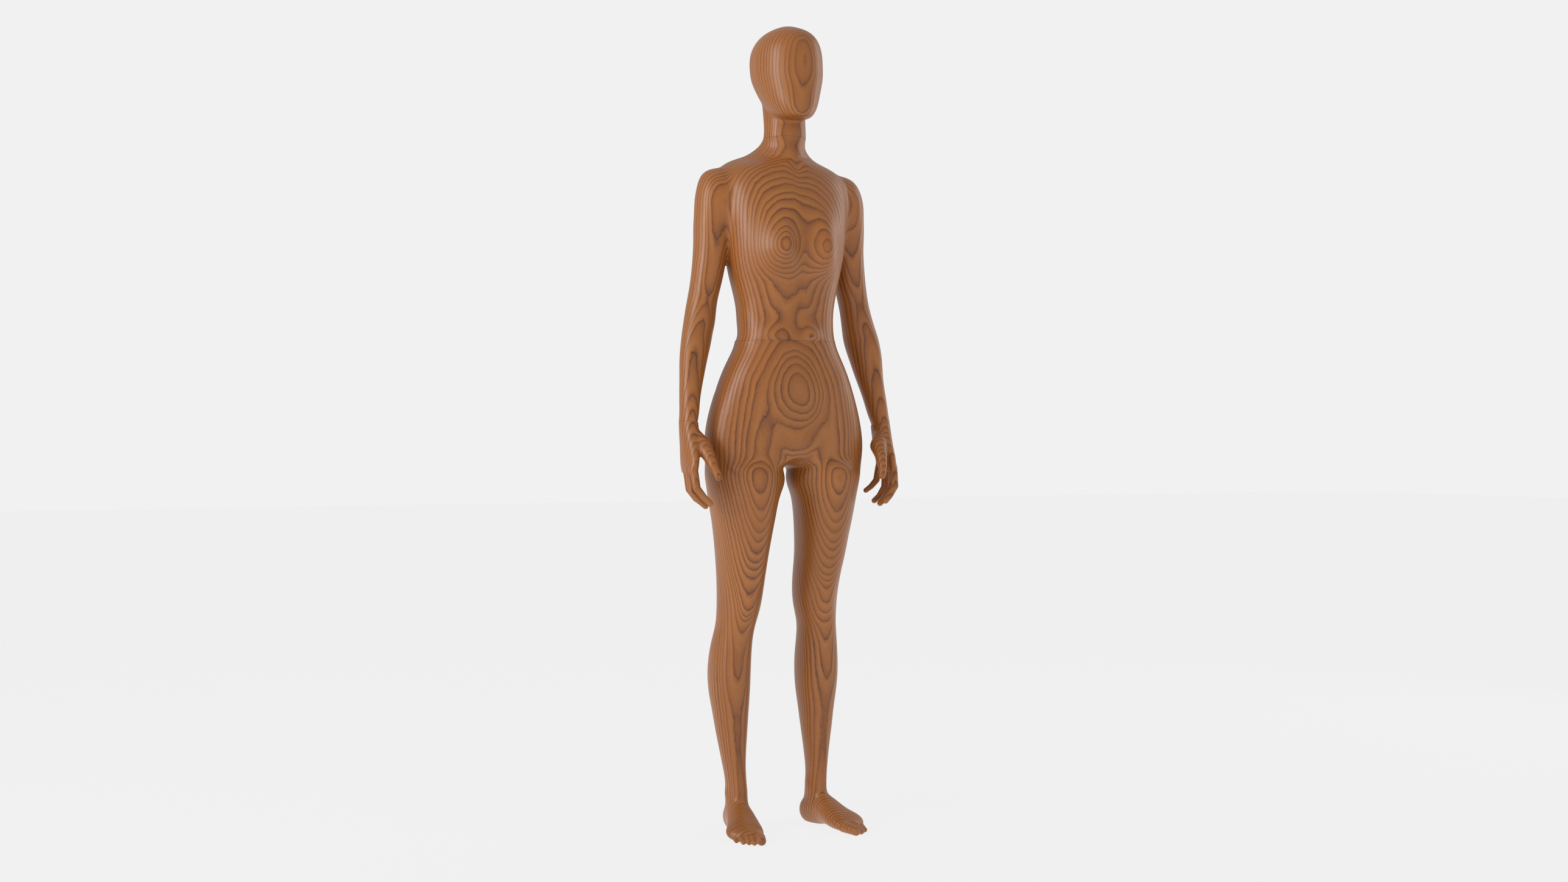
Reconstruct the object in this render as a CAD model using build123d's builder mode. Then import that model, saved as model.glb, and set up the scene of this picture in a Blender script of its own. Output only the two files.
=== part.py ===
"""Faceless wooden display mannequin of a standing woman, in knock-down pieces with concealed fittings.

Frame, in millimetres: +Z up, the figure faces -Y and its left side is at +X. The soles stand on z = 0.
The left limbs are modelled and the right ones are their mirror images.
"""

import os
from math import cos, e, pi, radians, sin

from build123d import *

# Driving dimensions
NECK_CUT = 1505  # level of the joint between head and neck
NECK_CENTRE = -3  # where the neck's centre is, front to back
WAIST_CUT = 1062  # level of the joint between torso and hips
LEG_CUT = 795  # level of the joint between hips and legs
LEG_JOINT = (98.5, 2)  # centre of the left leg's joint
SEAM = 0.3  # gap left between pieces that move on each other
RUNNING = 0.05  # gap around the shaft that a piece turns on
SHOULDER = (144, 22, 1382)  # centre of the left shoulder joint's face
SHOULDER_TILT = 4  # the shoulder's axis points this many degrees below the horizontal
WRIST = (230, -14.5, 884)  # centre of the left wrist joint's face
FOREARM = (0.176, -0.145, -0.974)  # direction of the forearm, towards the hand
CENTRING = 9  # how far everything is moved back, to bring the middle of its outline over the origin
TOE_OUT = 12  # degrees that each foot turns outwards
ANKLE = (96.5, 42)  # where the shin's centre line meets the floor

# Fittings. Bayonet: radius and thickness of the plates, radius of the stud's flange and shaft, reach, width
# and thickness of its lugs, circles that the screws are on, their number and their length
SHOULDER_FITTING = {"radius": 32, "plate": 3, "flange": 28, "shaft": 8, "reach": 15, "width": 8, "lug": 4,
                    "circle": 24.5, "stud_circle": 20, "screws": 3, "length": 30}
NECK_FITTING = {"radius": 30, "plate": 3, "flange": 27, "shaft": 8, "reach": 14, "width": 8, "lug": 4,
                "circle": 23, "stud_circle": 19, "screws": 3, "length": 25}
WRIST_FITTING = {"radius": 14.5, "plate": 2.5, "flange": 12.5, "shaft": 4, "reach": 7, "width": 4, "lug": 2.5,
                 "circle": 11, "stud_circle": 8.5, "screws": 2, "length": 16}
# Spigot: radius of the plates, peg across, front to back and tall, circle of the screws, gap at the seam
WAIST_FITTING = {"radius": 45, "long": 40, "wide": 20, "tall": 45, "circle": 36, "gap": SEAM}
LEG_FITTING = {"radius": 40, "long": 30, "wide": 20, "tall": 45, "circle": 31, "gap": 0}
SPIGOT_PLATE = 3
SCREW_SHANK, SCREW_HEAD, SCREW_SINK = 1.6, 3, 1.8  # radii of the screws' shank and head, depth of the head
DOWEL_RADIUS, DOWEL_LENGTH, DOWEL_CIRCLE = 8, 80, 45
STAND_SOCKET = (94, 50)  # where the left foot takes the rod of a display stand
TUBE_RADIUS, TUBE_BORE, TUBE_LENGTH = 7, 5.2, 70

# Horizontal sections of the torso and hips: height, half width, where it is widest front to back,
# front and back, each from y = 0, how far the bust and the seat stand out of that outline, then the
# outline's exponent, where 2 is an ellipse and less is closer to a diamond
TRUNK = [
    (NECK_CUT, 46.6, 0, -49.5, 45, 0, 0, 2.0),
    (1501, 47, 3, -49.4, 46, 0, 0, 1.98),
    (1496, 48.6, 9, -49.2, 48, 0, 0, 1.93),
    (1485, 55, 24, -49, 54, 0, 0, 1.8),
    (1470, 76, 36, -52, 62, 0, 0, 1.55),
    (1458, 110, 45, -56, 69, 0, 0, 1.36),
    (1447, 132, 41, -62, 73, 0, 0, 1.52),
    (1434, 143, 34, -68, 78, 0, 0, 1.85),
    (1415, 147, 25, -76, 83, 0, 0, 2.15),
    (1385, 149, 18, -88, 88, 0, 0, 2.25),
    (1345, 146, 12, -98, 92, 4, 0, 2.25),
    (1310, 141, 6, -101, 92, 14, 0, 2.25),
    (1280, 137, 2, -100, 91, 26, 0, 2.25),
    (1255, 134, 1, -97, 89, 31, 0, 2.25),
    (1230, 130, 1, -93, 86, 24, 0, 2.25),
    (1205, 125, 0, -89, 82, 9, 0, 2.25),
    (1170, 117, -2, -84, 75, 0, 0, 2.25),
    (1135, 110.5, -3, -81, 69, 0, 0, 2.25),
    (1100, 108.5, -5, -80, 66, 0, 0, 2.25),
    (WAIST_CUT, 113.5, -5, -83, 69, 0, 0, 2.25),
    (1025, 128, -5, -88, 76, 0, 3, 2.25),
    (985, 146.5, -4, -91, 84, 0, 9, 2.25),
    (945, 161, -4, -91, 92, 0, 17, 2.25),
    (905, 173, -4, -88, 98, 0, 23, 2.25),
    (865, 181, -5, -85, 100, 0, 25, 2.25),
    (830, 184, -6, -83, 97, 0, 22, 2.25),
    (LEG_CUT, 183.5, -6, -81, 91, 0, 15, 2.25),
]
BUST_OFFSET, BUST_SPREAD = 54, 40  # centre and reach of each breast across the chest
SEAT_OFFSET, SEAT_SPREAD = 74, 62  # the same for the seat
OUTLINE_POINTS = 32  # around the trunk's outline at each height

# Horizontal oval sections of the left arm: height, centre x and y, half width, half depth, and how far the
# oval is turned about the vertical, in degrees
ARM = [
    (1437, 143, 26, 12, 12, 0),
    (1433, 144, 26, 24, 23, 0),
    (1424, 147, 25, 34, 33, 0),
    (1408, 149, 22, 41, 42, 0),
    (1385, 151, 19, 45.5, 47, 0),
    (1355, 154, 19, 46, 47.5, 0),
    (1325, 157, 20, 44, 45.5, 0),
    (1290, 161, 21.5, 40.5, 42.5, 0),
    (1250, 165, 22.5, 37.5, 39.5, 0),
    (1210, 171, 23, 35, 37.5, 5),
    (1172, 178, 24, 33.5, 35.5, 15),
    (1142, 184.5, 23.5, 33, 34.5, 30),
    (1115, 189.5, 21, 33.5, 36, 40),
    (1087, 195, 18.5, 32.5, 39, 45),
    (1055, 201.5, 15.5, 30.8, 40, 45),
    (1023, 208, 12, 29, 37, 42),
    (991, 213.3, 8, 26.6, 32.8, 35),
    (959, 219, 2, 24, 29.5, 25),
    (927, 224, -5, 21.8, 28, 15),
    (897, 228.5, -11.5, 19.8, 27, 5),
    (868, 232.3, -17.5, 19.5, 28, 0),
]

# The same for the left hand's palm
PALM = [
    (900, 228, -11, 19.5, 26.5, 0),
    (884, 230, -14.5, 19.5, 27.5, 0),
    (866, 230.5, -18, 19.5, 29.5, 0),
    (846, 231, -22, 18.5, 33.5, 0),
    (826, 232, -26.5, 17, 38, 0),
    (806, 234, -31, 15, 40, 0),
    (790, 235, -33, 12.5, 39.5, 0),
    (779, 236, -34, 9, 37, 0),
]
# Joint centres of the left hand's digits from root to tip, with the radius at each
DIGITS = {
    "index": [
        (235, -55, 812, 8), (237.5, -62, 787, 9.2), (235, -73, 748, 8), (221, -78, 729, 7), (208, -81, 716, 6.4)
    ],
    "middle": [
        (236, -39, 812, 8), (239, -43, 784, 9.3), (236.5, -50, 742, 8.2), (222, -53, 722, 7.1),
        (208, -55, 710, 6.5),
    ],
    "ring": [
        (236, -24, 812, 8), (238, -25, 785, 8.9), (234, -28, 745, 7.8), (219.5, -30, 725, 6.8),
        (206, -31.5, 715, 6.2),
    ],
    "little": [
        (234, -9, 812, 8.5), (231, -6, 791, 8.8), (225.5, -5, 760, 7.4), (212, -5, 746, 6.4),
        (198.5, -5.5, 737, 5.6),
    ],
    "thumb": [
        (224, -27, 862, 15), (209.5, -45, 836, 19), (205, -65, 816, 14), (200, -82, 792, 9.8),
        (193.5, -92, 771, 7.6),
    ],
}

# The same as ARM for the left leg
LEG = [
    (LEG_CUT, 98.8, 0, 79, 92.8, -12),
    (777, 98.5, 0, 79, 93, -12),
    (755, 97.5, 0, 75.5, 91.5, -12),
    (720, 96.8, 1.5, 69.5, 89, -11),
    (680, 96, 4, 63, 84.5, -8),
    (640, 95, 9.5, 57.5, 79, -6),
    (600, 94, 16, 53.2, 74, -4),
    (560, 92, 25, 50.2, 68.5, -2),
    (520, 91, 33, 48, 63.5, 0),
    (480, 93, 38, 45, 58, 0),
    (445, 98, 42, 41.4, 54, 0),
    (410, 102.5, 48.5, 42, 54.5, 0),
    (375, 105, 53.5, 43.5, 57, 0),
    (335, 106.3, 56.5, 44.3, 57.5, 0),
    (295, 105.5, 57, 42.5, 54, 0),
    (255, 104, 55, 38, 48, 0),
    (215, 102.8, 52, 33.5, 42.5, 0),
    (175, 101.3, 48.5, 28, 38, 0),
    (135, 99.3, 44.5, 23.2, 35.5, 0),
    (105, 97.2, 41.5, 21.5, 35, 0),
    (75, 95.8, 39.5, 22, 35, 0),
    (50, 95.5, 39.5, 23, 35, 0),
]
# Upright sections of the foot, across its length: distance ahead of the ankle, sideways shift of the
# centre (outwards is positive), height of the centre, half width and half height
FOOT = [
    (-39, -1, 25, 9, 12),
    (-35, -1, 26, 16.5, 20),
    (-25, -1, 27, 24, 28.5),
    (-8, -1, 30, 28, 35),
    (12, -1, 33, 28.5, 37),
    (36, -1, 34, 30, 33),
    (62, -1, 29, 33, 26.5),
    (88, 0.5, 21.5, 37.5, 22.3),
    (108, 2.5, 17.5, 40, 19.3),
    (122, 1, 14.5, 37, 16.3),
    (134, -4, 12.5, 29, 13.6),
    (141, -8, 11.5, 21, 11),
]
# Toes from the big one outwards: root, middle and tip, each as distance ahead of the ankle, sideways shift,
# height and radius
TOES = [
    [(128, -22, 13, 12), (152, -22, 12, 11), (169, -21, 10, 9.6)],
    [(130, -5, 13, 7), (153, -5.5, 12, 6.6), (168, -6, 6.5, 5.6)],
    [(122, 7, 12, 7), (147, 5, 11.5, 6.4), (161, 4, 6.2, 5.4)],
    [(116, 17, 11, 6.8), (141, 16, 11, 6.2), (155, 15, 6, 5.2)],
    [(104, 28, 10, 6.8), (125, 27.5, 10, 6.2), (137, 26, 5.8, 5)],
]

# Horizontal sections of the head: height, centre y, half width and half depth
HEAD = [
    (1745.5, -13, 8, 10),
    (1743.5, -15, 19, 24),
    (1736, -14, 36.5, 48),
    (1722, -12.5, 56, 75),
    (1700, -10, 70, 90.5),
    (1672, -9.5, 75.5, 95.5),
    (1645, -12.5, 75.5, 94),
    (1618, -18.5, 71, 87.5),
    (1595, -26, 64, 79),
    (1575, -34.5, 56.5, 70.5),
    (1558, -45, 47, 59),
    (1546, -56, 36, 45),
    (1540, -63, 24, 31),
]
NECK = [
    (NECK_CUT, -2.5, 46.3, 47.2),
    (1520, -4, 45.5, 46),
    (1545, -2, 45.5, 46),
    (1570, 1, 46, 48),
    (1600, 5, 49, 51),
]


def trunk_section(height, half_width, widest, front, back, bust, seat, exponent):
    """Closed outline of the trunk at one height, as a face."""
    outline = []
    for i in range(OUTLINE_POINTS):
        angle = 2 * pi * (i + 0.5) / OUTLINE_POINTS
        side = 1 if cos(angle) > 0 else -1
        x = side * half_width * abs(cos(angle)) ** (2 / exponent)
        along = abs(sin(angle)) ** (2 / exponent)
        if sin(angle) < 0:
            bump = bust * e ** -(((abs(x) - BUST_OFFSET) / BUST_SPREAD) ** 2)
            y = widest + (front - widest - bump) * along
        else:
            bump = seat * e ** -(((abs(x) - SEAT_OFFSET) / SEAT_SPREAD) ** 2)
            y = widest + (back - widest + bump) * along
        outline.append((x, y))
    with BuildSketch(Plane.XY.offset(height)) as section:
        with BuildLine():
            Spline(*outline, periodic=True)
        make_face()
    return section.sketch


def trunk_length(low, high):
    """The trunk from one level up to another, both of them within a seam's width of a row of the table."""
    rows = [row for row in TRUNK if low - SEAM <= row[0] <= high + SEAM]
    sections = [trunk_section(min(max(height, low), high), *shape) for height, *shape in rows]
    with BuildPart() as length:
        loft(sections)
    return length.part


def oval_section(height, x, y, half_width, half_depth, turn):
    """Horizontal elliptical face."""
    with BuildSketch(Plane((x, y, height))) as section:
        Ellipse(half_width, half_depth, rotation=turn)
    return section.sketch


def foot_point(ahead, shift, height):
    """A place in the left foot, given along and across it, in the model's frame."""
    turn = radians(TOE_OUT)
    x = ANKLE[0] + ahead * sin(turn) + shift * cos(turn)
    y = ANKLE[1] - ahead * cos(turn) + shift * sin(turn)
    return (x, y, height)


def foot_section(ahead, shift, height, half_width, half_height):
    """Upright elliptical face across the foot."""
    turn = radians(TOE_OUT)
    place = foot_point(ahead, shift, height)
    across = Plane(place, x_dir=(cos(turn), sin(turn), 0), z_dir=(sin(turn), -cos(turn), 0))
    with BuildSketch(across) as section:
        Ellipse(half_width, half_height)
    return section.sketch


def digit_form(joints):
    """Finger, thumb or toe: a tapering length between joints and a ball at each of them."""
    with BuildPart() as digit:
        for (*start, start_radius), (*end, end_radius) in zip(joints, joints[1:]):
            run = Vector(*end) - Vector(*start)
            with Locations(Plane(tuple(start), z_dir=run)):
                Cone(start_radius, end_radius, run.length, align=(Align.CENTER, Align.CENTER, Align.MIN))
        for *centre, radius in joints:
            with Locations(tuple(centre)):
                Sphere(radius)
    return digit.part


def keep_side(form, plane, distance):
    """The part of a solid that lies on the far side of a plane, starting at a distance from it."""
    with BuildPart() as kept:
        add(form)
        split(bisect_by=plane.offset(distance), keep=Keep.TOP)
    return kept.part


def mirrored(solid):
    """The same solid for the right side."""
    return solid.mirror(Plane.YZ)


def countersunk_screws(circle, count, length, start_angle):
    """Wood screws on a circle, heads level with z = 0 and shanks pointing down the -Z direction."""
    with BuildPart() as screws:
        with PolarLocations(circle, count, start_angle):
            Cylinder(SCREW_SHANK, length, align=(Align.CENTER, Align.CENTER, Align.MAX))
            Cone(SCREW_SHANK, SCREW_HEAD, SCREW_SINK, align=(Align.CENTER, Align.CENTER, Align.MAX))
        with PolarLocations(circle, count, start_angle):
            Box(2 * SCREW_HEAD, 0.9, 0.8, align=(Align.CENTER, Align.CENTER, Align.MAX), mode=Mode.SUBTRACT)
            Box(0.9, 2 * SCREW_HEAD, 0.8, align=(Align.CENTER, Align.CENTER, Align.MAX), mode=Mode.SUBTRACT)
    return screws.part


def screw_room(circle, count, length, start_angle):
    """What the screws take away from the pieces that they pass through."""
    with BuildPart() as room:
        with PolarLocations(circle, count, start_angle):
            Cylinder(SCREW_SHANK, length, align=(Align.CENTER, Align.CENTER, Align.MAX))
            Cone(SCREW_SHANK, SCREW_HEAD, SCREW_SINK, align=(Align.CENTER, Align.CENTER, Align.MAX))
    return room.part


def bayonet(size):
    """Turning joint fitting about the Z axis, pointing from the socket's piece to the stud's piece.

    Returns the solids of the socket plate, the stud and both sets of screws, then the recesses that the
    socket's wood and the stud's wood need.
    """
    low = -SEAM / 2
    high = SEAM / 2
    lug_top = low - size["plate"] - SEAM
    lug_bottom = lug_top - size["lug"]
    socket_screws = countersunk_screws(size["circle"], size["screws"], size["length"], 90)
    socket_screws = Pos(0, 0, low) * socket_screws
    socket_room = Pos(0, 0, low) * screw_room(size["circle"], size["screws"], size["length"], 90)
    stud_screws = countersunk_screws(size["stud_circle"], size["screws"], size["length"], 90)
    stud_screws = Pos(0, 0, high) * Rot(180, 0, 0) * stud_screws
    stud_room = screw_room(size["stud_circle"], size["screws"], size["length"], 90)
    stud_room = Pos(0, 0, high) * Rot(180, 0, 0) * stud_room

    with BuildPart() as plate:
        with Locations((0, 0, low)):
            Cylinder(size["radius"], size["plate"], align=(Align.CENTER, Align.CENTER, Align.MAX))
            Cylinder(size["shaft"] + RUNNING, 20, mode=Mode.SUBTRACT)
            Box(2 * size["reach"] + 1, size["width"] + 1, 20, mode=Mode.SUBTRACT)
        add(socket_room, mode=Mode.SUBTRACT)

    with BuildPart() as stud:
        with Locations((0, 0, high)):
            Cylinder(size["flange"], size["plate"], align=(Align.CENTER, Align.CENTER, Align.MIN))
        add(stud_room, mode=Mode.SUBTRACT)
        with Locations((0, 0, lug_bottom)):
            Cylinder(size["shaft"], high - lug_bottom, align=(Align.CENTER, Align.CENTER, Align.MIN))
            Box(size["width"], 2 * size["reach"], size["lug"], align=(Align.CENTER, Align.CENTER, Align.MIN))

    with BuildPart() as socket_recess:
        with Locations((0, 0, low)):
            Cylinder(size["radius"], size["plate"], align=(Align.CENTER, Align.CENTER, Align.MAX))
        with Locations((0, 0, low)):
            Cylinder(size["reach"] + 1, low - lug_bottom + 1.5, align=(Align.CENTER, Align.CENTER, Align.MAX))
        add(socket_room)

    with BuildPart() as stud_recess:
        with Locations((0, 0, high)):
            Cylinder(size["flange"], size["plate"], align=(Align.CENTER, Align.CENTER, Align.MIN))
        add(stud_room)

    return plate.part, socket_screws, stud.part, stud_screws, socket_recess.part, stud_recess.part


def spigot(size):
    """Keyed plug-in fitting along the Z axis, its peg pointing up from the peg's piece.

    Returns the solids of the peg plate, the socket plate and both sets of screws, then the recesses that
    the peg's wood and the socket's wood need.
    """
    low = -size["gap"] / 2
    high = size["gap"] / 2
    peg_screws = Pos(0, 0, low) * countersunk_screws(size["circle"], 4, 25, 45)
    peg_room = Pos(0, 0, low) * screw_room(size["circle"], 4, 25, 45)
    socket_screws = Pos(0, 0, high) * Rot(180, 0, 0) * countersunk_screws(size["circle"], 4, 25, 45)
    socket_room = Pos(0, 0, high) * Rot(180, 0, 0) * screw_room(size["circle"], 4, 25, 45)

    with BuildPart() as peg_plate:
        with Locations((0, 0, low)):
            Cylinder(size["radius"], SPIGOT_PLATE, align=(Align.CENTER, Align.CENTER, Align.MAX))
            Box(size["long"], size["wide"], size["tall"], align=(Align.CENTER, Align.CENTER, Align.MIN))
        chamfer(peg_plate.faces().sort_by(Axis.Z)[-1].edges(), 2.5)
        add(peg_room, mode=Mode.SUBTRACT)

    with BuildPart() as socket_plate:
        with Locations((0, 0, high)):
            Cylinder(size["radius"], SPIGOT_PLATE, align=(Align.CENTER, Align.CENTER, Align.MIN))
            Box(size["long"] + 1, size["wide"] + 1, 20, mode=Mode.SUBTRACT)
        add(socket_room, mode=Mode.SUBTRACT)

    with BuildPart() as peg_recess:
        with Locations((0, 0, low)):
            Cylinder(size["radius"], SPIGOT_PLATE, align=(Align.CENTER, Align.CENTER, Align.MAX))
        add(peg_room)

    with BuildPart() as socket_recess:
        with Locations((0, 0, high)):
            Cylinder(size["radius"], SPIGOT_PLATE, align=(Align.CENTER, Align.CENTER, Align.MIN))
        with Locations((0, 0, high)):
            Box(size["long"] + 2, size["wide"] + 2, size["tall"] + 3, align=(Align.CENTER, Align.CENTER, Align.MIN))
        add(socket_room)

    return (
        peg_plate.part,
        peg_screws,
        socket_plate.part,
        socket_screws,
        peg_recess.part,
        socket_recess.part,
    )


# Joint frames: z points from the socket's piece to the stud's piece, or from the peg to its socket
tilt = radians(SHOULDER_TILT)
neck_joint = Plane((0, NECK_CENTRE, NECK_CUT))
shoulder_joint = Plane(SHOULDER, x_dir=(0, -1, 0), z_dir=(cos(tilt), 0, -sin(tilt)))
wrist_joint = Plane(WRIST, x_dir=(0, -1, 0.149), z_dir=FOREARM)
waist_joint = Plane((0, -5, WAIST_CUT))
leg_joint = Plane((-LEG_JOINT[0], LEG_JOINT[1], LEG_CUT), x_dir=(1, 0, 0), z_dir=(0, 0, -1))
mirrored_shoulder = Plane(
    (-SHOULDER[0], SHOULDER[1], SHOULDER[2]), x_dir=(0, -1, 0), z_dir=(-cos(tilt), 0, -sin(tilt))
)

# Fittings
shoulder_set = [shoulder_joint.location * piece for piece in bayonet(SHOULDER_FITTING)]
wrist_set = [wrist_joint.location * piece for piece in bayonet(WRIST_FITTING)]
neck_set = [neck_joint.location * piece for piece in bayonet(NECK_FITTING)]
waist_set = [waist_joint.location * piece for piece in spigot(WAIST_FITTING)]
leg_set = [leg_joint.location * piece for piece in spigot(LEG_FITTING)]

# Plain outlines of the figure
chest_form = trunk_length(WAIST_CUT + SEAM / 2, NECK_CUT - SEAM / 2)
hip_form = trunk_length(LEG_CUT, WAIST_CUT - SEAM / 2)

with BuildPart() as arm_form:
    loft([oval_section(*row) for row in ARM])

with BuildPart() as palm_form:
    loft([oval_section(*row) for row in PALM])

with BuildPart() as leg_form:
    loft([oval_section(*row) for row in LEG])

with BuildPart() as foot_form:
    loft([foot_section(*row) for row in FOOT])

with BuildPart() as skull_form:
    loft([oval_section(z, 0, y, half_width, half_depth, 0) for z, y, half_width, half_depth in HEAD])

with BuildPart() as neck_form:
    loft([oval_section(z + SEAM / 2, 0, y, half_width, half_depth, 0) for z, y, half_width, half_depth in NECK])

digit_forms = [digit_form(joints) for joints in DIGITS.values()]
toe_forms = [digit_form([(*foot_point(*place), radius) for *place, radius in joints]) for joints in TOES]
arm_stub = keep_side(arm_form.part, -shoulder_joint, SEAM / 2)
arm_length = keep_side(arm_form.part, shoulder_joint, SEAM / 2)

# Wooden pieces
with BuildPart() as head:
    add(skull_form.part)
    add(neck_form.part)
    add(neck_set[5], mode=Mode.SUBTRACT)

with BuildPart() as torso:
    add(chest_form)
    split(bisect_by=shoulder_joint.offset(-SEAM / 2), keep=Keep.BOTTOM)
    split(bisect_by=mirrored_shoulder.offset(-SEAM / 2), keep=Keep.BOTTOM)
    add(arm_stub)
    add(mirrored(arm_stub))
    add(neck_set[4], mode=Mode.SUBTRACT)
    add(shoulder_set[4], mode=Mode.SUBTRACT)
    add(mirrored(shoulder_set[4]), mode=Mode.SUBTRACT)
    add(waist_set[5], mode=Mode.SUBTRACT)

with BuildPart() as pelvis:
    add(hip_form)
    add(waist_set[4], mode=Mode.SUBTRACT)
    add(leg_set[4], mode=Mode.SUBTRACT)
    with Locations((LEG_JOINT[0], LEG_JOINT[1], LEG_CUT)):
        with PolarLocations(DOWEL_CIRCLE, 3, 90):
            Cylinder(DOWEL_RADIUS, DOWEL_LENGTH, mode=Mode.SUBTRACT)

with BuildPart() as left_arm:
    add(arm_length)
    split(bisect_by=wrist_joint.offset(-SEAM / 2), keep=Keep.BOTTOM)
    add(shoulder_set[5], mode=Mode.SUBTRACT)
    add(wrist_set[4], mode=Mode.SUBTRACT)

with BuildPart() as left_hand:
    add(palm_form.part)
    for digit in digit_forms:
        add(digit)
    split(bisect_by=wrist_joint.offset(SEAM / 2), keep=Keep.TOP)
    add(wrist_set[5], mode=Mode.SUBTRACT)

with BuildPart() as leg_and_foot:
    add(leg_form.part)
    add(foot_form.part)
    for toe in toe_forms:
        add(toe)
    split(bisect_by=Plane.XY, keep=Keep.TOP)

with BuildPart() as left_leg:
    add(leg_and_foot.part)
    with Locations((LEG_JOINT[0], LEG_JOINT[1], LEG_CUT)):
        with PolarLocations(DOWEL_CIRCLE, 3, 90):
            Cylinder(DOWEL_RADIUS, DOWEL_LENGTH, mode=Mode.SUBTRACT)
    with Locations((STAND_SOCKET[0], STAND_SOCKET[1], 0)):
        Cylinder(TUBE_RADIUS, TUBE_LENGTH, align=(Align.CENTER, Align.CENTER, Align.MIN), mode=Mode.SUBTRACT)

with BuildPart() as right_leg:
    add(mirrored(leg_and_foot.part))
    add(leg_set[5], mode=Mode.SUBTRACT)

# Small pieces in the hips and the left leg
with BuildPart() as left_leg_dowels:
    with Locations((LEG_JOINT[0], LEG_JOINT[1], LEG_CUT)):
        with PolarLocations(DOWEL_CIRCLE, 3, 90):
            Cylinder(DOWEL_RADIUS, DOWEL_LENGTH)

with BuildPart() as foot_socket_tube:
    with Locations((STAND_SOCKET[0], STAND_SOCKET[1], 0)):
        Cylinder(TUBE_RADIUS, TUBE_LENGTH, align=(Align.CENTER, Align.CENTER, Align.MIN))
        Cylinder(TUBE_BORE, TUBE_LENGTH, align=(Align.CENTER, Align.CENTER, Align.MIN), mode=Mode.SUBTRACT)

pieces = {
    "head": head.part,
    "torso": torso.part,
    "pelvis": pelvis.part,
    "left_arm": left_arm.part,
    "right_arm": mirrored(left_arm.part),
    "left_hand": left_hand.part,
    "right_hand": mirrored(left_hand.part),
    "left_leg": left_leg.part,
    "right_leg": right_leg.part,
    "neck_socket_plate": neck_set[0],
    "neck_socket_screws": neck_set[1],
    "head_stud": neck_set[2],
    "head_stud_screws": neck_set[3],
    "waist_peg_plate": waist_set[0],
    "waist_peg_screws": waist_set[1],
    "waist_socket_plate": waist_set[2],
    "waist_socket_screws": waist_set[3],
    "leg_peg_plate": leg_set[0],
    "leg_peg_screws": leg_set[1],
    "leg_socket_plate": leg_set[2],
    "leg_socket_screws": leg_set[3],
    "left_leg_dowels": left_leg_dowels.part,
    "foot_socket_tube": foot_socket_tube.part,
    "left_shoulder_socket_plate": shoulder_set[0],
    "left_shoulder_socket_screws": shoulder_set[1],
    "left_arm_stud": shoulder_set[2],
    "left_arm_stud_screws": shoulder_set[3],
    "left_wrist_socket_plate": wrist_set[0],
    "left_wrist_socket_screws": wrist_set[1],
    "left_hand_stud": wrist_set[2],
    "left_hand_stud_screws": wrist_set[3],
    "right_shoulder_socket_plate": mirrored(shoulder_set[0]),
    "right_shoulder_socket_screws": mirrored(shoulder_set[1]),
    "right_arm_stud": mirrored(shoulder_set[2]),
    "right_arm_stud_screws": mirrored(shoulder_set[3]),
    "right_wrist_socket_plate": mirrored(wrist_set[0]),
    "right_wrist_socket_screws": mirrored(wrist_set[1]),
    "right_hand_stud": mirrored(wrist_set[2]),
    "right_hand_stud_screws": mirrored(wrist_set[3]),
}

os.makedirs("parts", exist_ok=True)
for name, form in pieces.items():
    solid = Pos(0, CENTRING, 0) * form
    solid.label = name
    export_step(solid, f"parts/{name}.step")
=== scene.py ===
"""Looks of a faceless wooden display mannequin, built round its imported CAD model.

Metres, in the model's own frame: +Z up, the figure faces -Y and its left side is at +X.
The carved skin is made from the CAD model's wooden pieces: their outlines are joined, remeshed finely,
smoothed where limbs and digits meet, carved, and cut again at the same joints.
"""

import math

import bmesh
import bpy
import numpy as np
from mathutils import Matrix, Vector


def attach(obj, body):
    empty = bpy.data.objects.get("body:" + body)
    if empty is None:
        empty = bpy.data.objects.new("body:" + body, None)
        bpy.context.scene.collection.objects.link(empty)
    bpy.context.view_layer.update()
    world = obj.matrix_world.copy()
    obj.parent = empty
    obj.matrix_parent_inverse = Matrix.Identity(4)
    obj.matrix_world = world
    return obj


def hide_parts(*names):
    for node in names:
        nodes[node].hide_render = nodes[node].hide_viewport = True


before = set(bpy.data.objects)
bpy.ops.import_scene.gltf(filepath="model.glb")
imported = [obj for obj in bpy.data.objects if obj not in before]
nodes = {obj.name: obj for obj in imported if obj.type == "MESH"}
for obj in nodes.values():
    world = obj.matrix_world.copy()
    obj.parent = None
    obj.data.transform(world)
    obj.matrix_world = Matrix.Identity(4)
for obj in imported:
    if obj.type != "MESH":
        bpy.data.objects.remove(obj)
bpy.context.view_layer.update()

# Joints of the figure
NECK_Z, WAIST_Z, LEG_Z = 1.505, 1.062, 0.795
HALF_SEAM = 0.00015  # half the gap left between two pieces
TILT = math.radians(4)  # how far the shoulders' faces lean
SHOULDER = np.array((0.144, 0.031, 1.382))
SHOULDER_OUT = np.array((math.cos(TILT), 0, -math.sin(TILT)))
WRIST = np.array((0.230, -0.0055, 0.884))
FOREARM = (0.176, -0.145, -0.974)
WRIST_OUT = np.array(FOREARM) / np.linalg.norm(FOREARM)
NECK = np.array((0, 0.006, NECK_Z))
WAIST = np.array((0, 0.004, WAIST_Z))
LEG = np.array((0.0985, 0.011, LEG_Z))
SOCKET = np.array((0.094, 0.059, 0))  # the stand's socket in the left foot
UP = np.array((0.0, 0.0, 1.0))
PUSH = 0.0012  # how far the pieces reach past their seams while they are joined
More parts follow.
